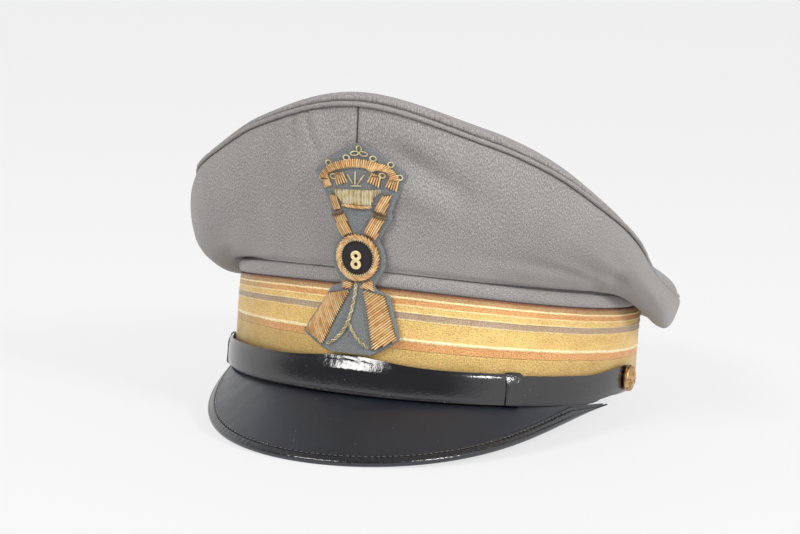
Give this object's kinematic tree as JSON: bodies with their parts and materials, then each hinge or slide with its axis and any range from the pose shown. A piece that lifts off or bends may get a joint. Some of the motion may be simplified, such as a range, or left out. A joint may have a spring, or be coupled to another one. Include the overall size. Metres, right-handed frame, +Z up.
{
  "type": "peaked service cap",
  "caption": "Grey wool peaked cap with a tall sagging crown, striped gold lace band, black lacquered peak and chin strap, gilt side buttons and an embroidered badge.",
  "frame": {"origin": "on the surface the cap rests on, under the middle of its bounding box", "axes": "+Z up, -Y towards the front of the cap, +X towards the wearer's left"},
  "size_m": [0.2118, 0.2735, 0.1429],
  "materials": {
    "wool": "fulled grey wool cloth, matt with a fine heathered grain",
    "gold_lace": "striped metallic lace, gold, copper and taupe bands with bright raised lines",
    "lacquered_leather": "black lacquered leather, glossy, sewn edge",
    "gilt_brass": "gilt brass, slightly worn",
    "badge_cloth": "blue-grey felt ground",
    "bullion": "coiled gold wire embroidery, darkened to copper",
    "bright_bullion": "bright gold wire embroidery",
    "black_enamel": "black cloth-covered boss, low sheen"
  },
  "bodies": {
    "root": {"side_panel_left": "wool", "side_panel_right": "wool", "top_panel": "wool", "edge_piping": "wool", "band": "wool", "welt": "wool", "gold_lace": "gold_lace", "peak": "lacquered_leather", "peak_binding": "lacquered_leather", "chin_strap": "lacquered_leather", "chin_strap_double": "lacquered_leather", "keeper_left": "lacquered_leather", "keeper_right": "lacquered_leather", "button_left": "gilt_brass", "button_right": "gilt_brass", "badge_number": "gilt_brass", "badge_ground": "badge_cloth", "badge_arch": "bullion", "badge_barrel_left": "bullion", "badge_barrel_right": "bullion", "badge_ring": "bullion", "badge_stock_left": "bullion", "badge_stock_right": "bullion", "badge_circlet": "bright_bullion", "badge_cord": "bright_bullion", "badge_cord_end": "bright_bullion", "badge_boss": "black_enamel"}
  },
  "joints": []
}
